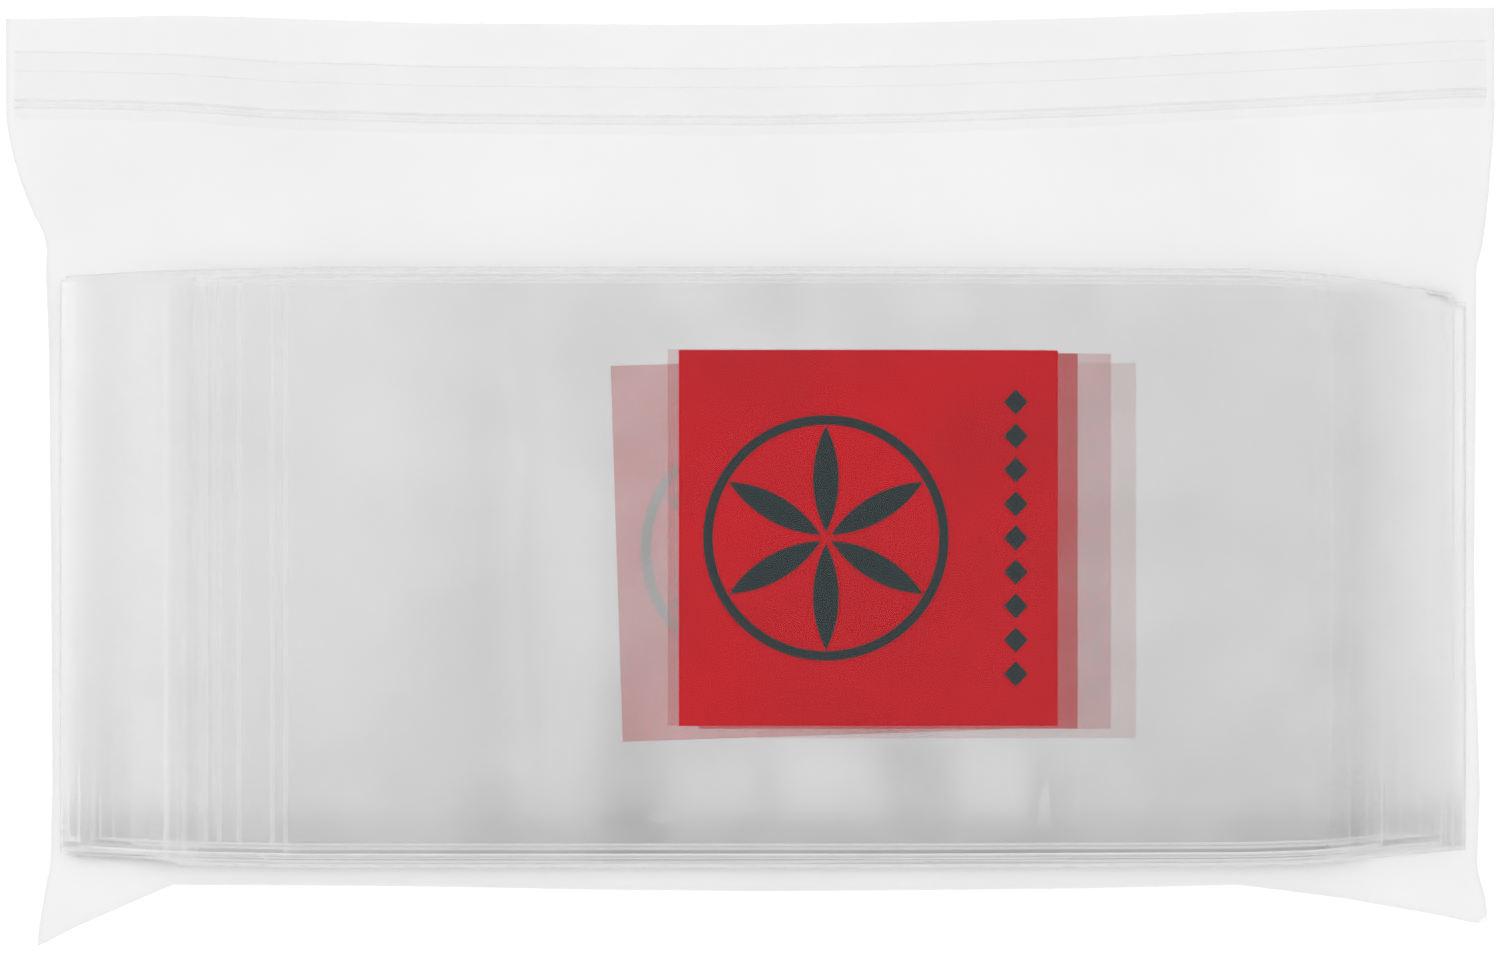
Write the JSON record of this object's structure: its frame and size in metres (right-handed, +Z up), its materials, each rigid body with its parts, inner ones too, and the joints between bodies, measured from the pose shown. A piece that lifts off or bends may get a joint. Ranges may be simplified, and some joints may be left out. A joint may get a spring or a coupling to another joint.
{
  "type": "filled zipper bag pack",
  "caption": "Clear press-to-close plastic bag lying flat, filled with a pile of flat printed zipper bags; closed zip along the top edge and pointed lower corners.",
  "frame": {"origin": "under the middle of the bounding box, on the surface that the bag lies on", "axes": "+X along the closed mouth, to the right with the mouth away from the viewer; +Y from the bottom fold to the mouth; +Z up from the surface"},
  "size_m": [0.4062, 0.256, 0.0214],
  "materials": {
    "outer_film": "clear, slightly milky polyethylene film with a soft gloss",
    "closure": "clear extruded polyethylene strip",
    "printed_film": "clear polyethylene film printed with a red panel",
    "bag_bundle": "many layers of clear film, milky grey in a pile"
  },
  "bodies": {
    "root": {"outer_bag": "outer_film", "zipper_channel": "closure", "zipper_rib": "closure", "printed_bag_01": "printed_film", "printed_bag_02": "printed_film", "printed_bag_03": "printed_film", "printed_bag_04": "printed_film", "printed_bag_05": "printed_film", "printed_bag_06": "printed_film", "bag_block_01": "bag_bundle", "bag_block_02": "bag_bundle", "bag_block_03": "bag_bundle", "bag_block_04": "bag_bundle", "bag_block_05": "bag_bundle", "bag_block_06": "bag_bundle", "bag_block_07": "bag_bundle", "bag_block_08": "bag_bundle", "bag_block_09": "bag_bundle", "bag_block_10": "bag_bundle"}
  },
  "joints": []
}
